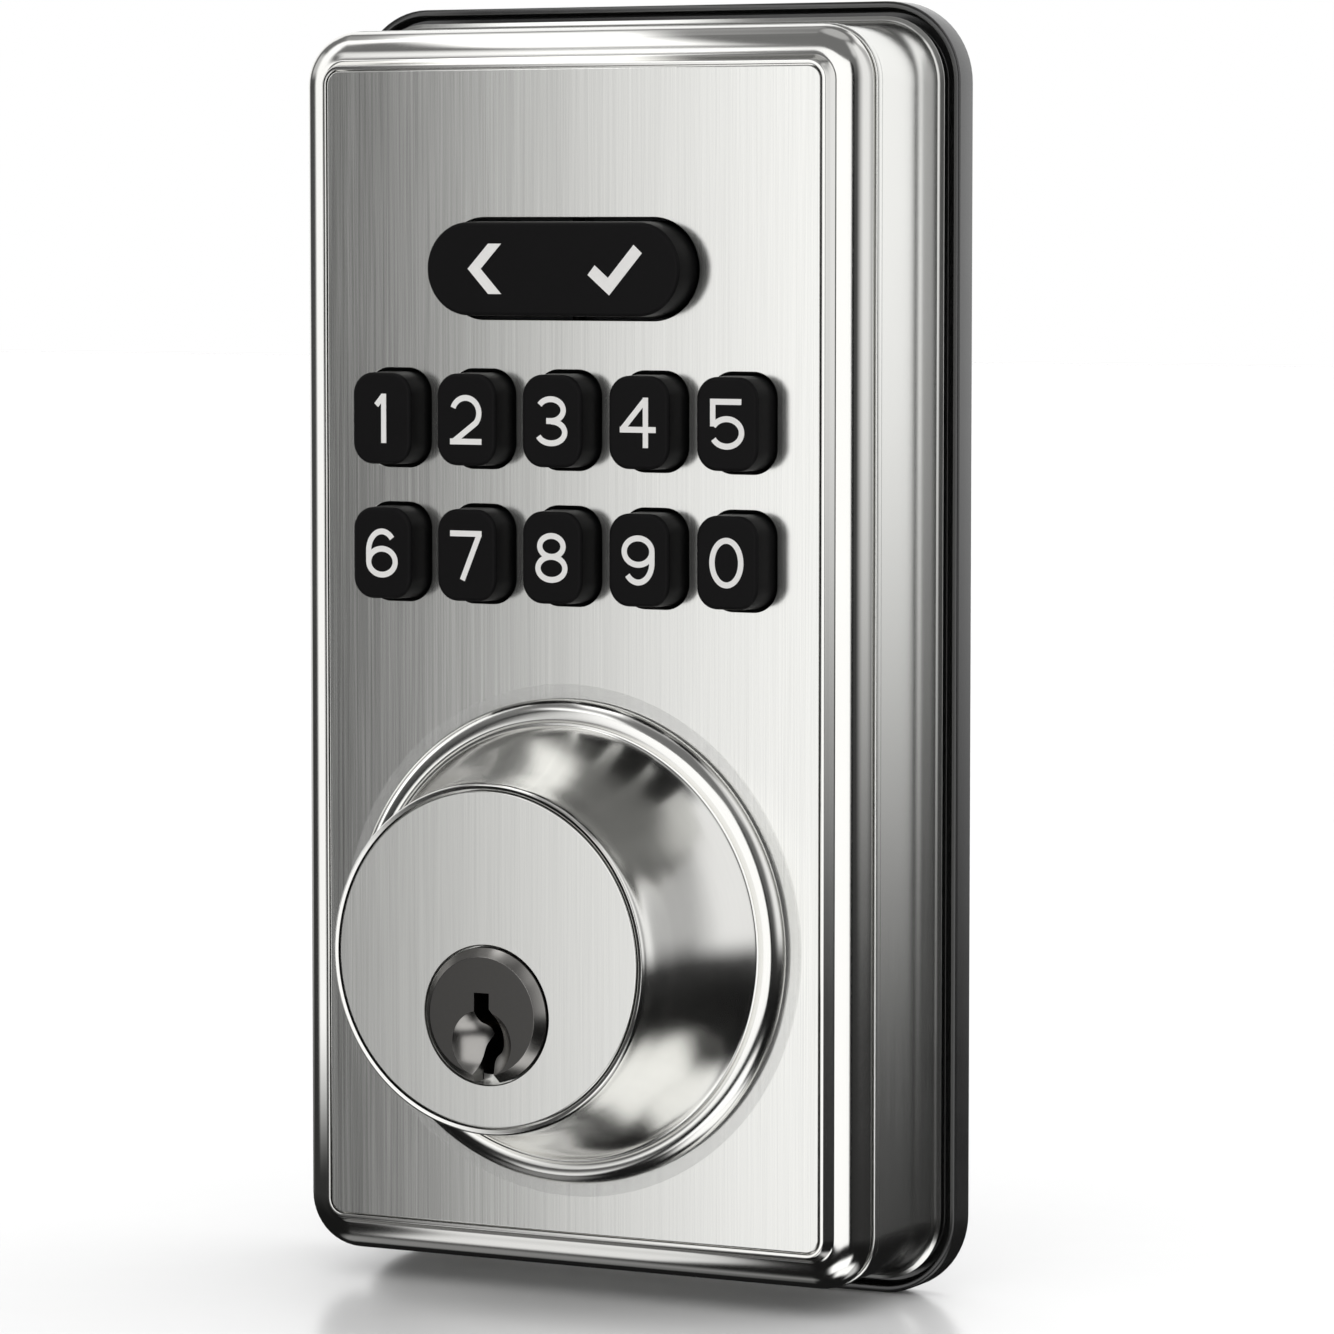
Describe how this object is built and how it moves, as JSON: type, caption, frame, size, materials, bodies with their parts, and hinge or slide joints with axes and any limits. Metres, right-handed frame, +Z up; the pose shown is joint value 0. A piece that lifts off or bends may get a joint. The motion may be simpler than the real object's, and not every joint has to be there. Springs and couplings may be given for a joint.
{
  "type": "keypad deadbolt exterior assembly",
  "caption": "Outside half of a keypad deadbolt: brushed nickel cover with push-button keys, a rocker key and a keyed cylinder that turns a tailpiece through the door.",
  "frame": {"origin": "on the key plug's axis where it meets the door's outer face, the centre of the door's cross bore", "axes": "+X right and +Z up as seen from outside, +Y into the door along the tailpiece"},
  "size_m": [0.0746, 0.0944, 0.1406],
  "materials": {
    "satin_nickel": "satin nickel, fine vertical brushing",
    "polished_nickel": "polished nickel",
    "black_steel": "black powder coat",
    "gasket_rubber": "satin black rubber",
    "key_plastic": "matte black, pale grey legends",
    "guide_plastic": "moulded dark grey",
    "silicone": "soft grey silicone",
    "circuit_board": "green solder mask",
    "chip_plastic": "moulded black",
    "connector_plastic": "moulded cream",
    "screw_steel": "zinc plated",
    "plated_steel": "bright zinc plate",
    "washer_plastic": "translucent pale nylon",
    "plug_metal": "dark gunmetal, polished bevel and dimple",
    "pin_brass": "turned brass",
    "spring_steel": "drawn wire"
  },
  "bodies": {
    "lock_body": {"front_plate": "satin_nickel", "bezel_frame": "polished_nickel", "housing": "polished_nickel", "back_plate": "black_steel", "back_gasket": "gasket_rubber", "cable_grommet": "gasket_rubber", "key_guide": "guide_plastic", "key_mat": "silicone", "circuit_board": "circuit_board", "controller_chip": "chip_plastic", "buzzer": "chip_plastic", "cable_connector": "connector_plastic", "board_screw_1": "screw_steel", "board_screw_2": "screw_steel", "board_screw_3": "screw_steel", "board_screw_4": "screw_steel", "collar": "polished_nickel", "collar_washer": "washer_plastic", "cylinder_body": "satin_nickel", "driver_pin_1": "pin_brass", "driver_pin_2": "pin_brass", "driver_pin_3": "pin_brass", "driver_pin_4": "pin_brass", "driver_pin_5": "pin_brass", "pin_spring_1": "spring_steel", "pin_spring_2": "spring_steel", "pin_spring_3": "spring_steel", "pin_spring_4": "spring_steel", "pin_spring_5": "spring_steel", "pin_chamber_cover": "plated_steel", "cylinder_bracket": "plated_steel", "cylinder_screw_left": "screw_steel", "cylinder_screw_right": "screw_steel", "mounting_post_left": "plated_steel", "mounting_post_right": "plated_steel", "back_screw_1": "screw_steel", "back_screw_2": "screw_steel", "back_screw_3": "screw_steel", "back_screw_4": "screw_steel"},
    "plug": {"key_plug": "plug_metal", "plug_cap": "pin_brass", "key_pin_1": "pin_brass", "key_pin_2": "pin_brass", "key_pin_3": "pin_brass", "key_pin_4": "pin_brass", "key_pin_5": "pin_brass"},
    "tailpiece": {"tailpiece": "plated_steel"},
    "function_key": {"function_key": "key_plastic"},
    "key_1": {"key_1": "key_plastic"},
    "key_2": {"key_2": "key_plastic"},
    "key_3": {"key_3": "key_plastic"},
    "key_4": {"key_4": "key_plastic"},
    "key_5": {"key_5": "key_plastic"},
    "key_6": {"key_6": "key_plastic"},
    "key_7": {"key_7": "key_plastic"},
    "key_8": {"key_8": "key_plastic"},
    "key_9": {"key_9": "key_plastic"},
    "key_0": {"key_0": "key_plastic"}
  },
  "joints": [
    {"name": "plug_turn", "type": "hinge", "parent": "lock_body", "child": "plug", "pos_m": [0, -0.0228, 0], "axis": [0, 1, 0], "range_deg": [-90, 90]},
    {"name": "tailpiece_turn", "type": "hinge", "parent": "plug", "child": "tailpiece", "pos_m": [0, 0, 0], "axis": [0, 1, 0], "range_deg": [0, 90]},
    {"name": "function_key_rock", "type": "hinge", "parent": "lock_body", "child": "function_key", "pos_m": [0, -0.0204, 0.07855], "axis": [0, 0, 1], "range_deg": [-3.5, 3.5], "stiffness_Nm_per_rad": 0.4},
    {"name": "key_1_press", "type": "slide", "parent": "lock_body", "child": "key_1", "axis": [0, 1, 0], "range_m": [0, 0.001], "stiffness_N_per_m": 1500},
    {"name": "key_2_press", "type": "slide", "parent": "lock_body", "child": "key_2", "axis": [0, 1, 0], "range_m": [0, 0.001], "stiffness_N_per_m": 1500},
    {"name": "key_3_press", "type": "slide", "parent": "lock_body", "child": "key_3", "axis": [0, 1, 0], "range_m": [0, 0.001], "stiffness_N_per_m": 1500},
    {"name": "key_4_press", "type": "slide", "parent": "lock_body", "child": "key_4", "axis": [0, 1, 0], "range_m": [0, 0.001], "stiffness_N_per_m": 1500},
    {"name": "key_5_press", "type": "slide", "parent": "lock_body", "child": "key_5", "axis": [0, 1, 0], "range_m": [0, 0.001], "stiffness_N_per_m": 1500},
    {"name": "key_6_press", "type": "slide", "parent": "lock_body", "child": "key_6", "axis": [0, 1, 0], "range_m": [0, 0.001], "stiffness_N_per_m": 1500},
    {"name": "key_7_press", "type": "slide", "parent": "lock_body", "child": "key_7", "axis": [0, 1, 0], "range_m": [0, 0.001], "stiffness_N_per_m": 1500},
    {"name": "key_8_press", "type": "slide", "parent": "lock_body", "child": "key_8", "axis": [0, 1, 0], "range_m": [0, 0.001], "stiffness_N_per_m": 1500},
    {"name": "key_9_press", "type": "slide", "parent": "lock_body", "child": "key_9", "axis": [0, 1, 0], "range_m": [0, 0.001], "stiffness_N_per_m": 1500},
    {"name": "key_0_press", "type": "slide", "parent": "lock_body", "child": "key_0", "axis": [0, 1, 0], "range_m": [0, 0.001], "stiffness_N_per_m": 1500}
  ]
}
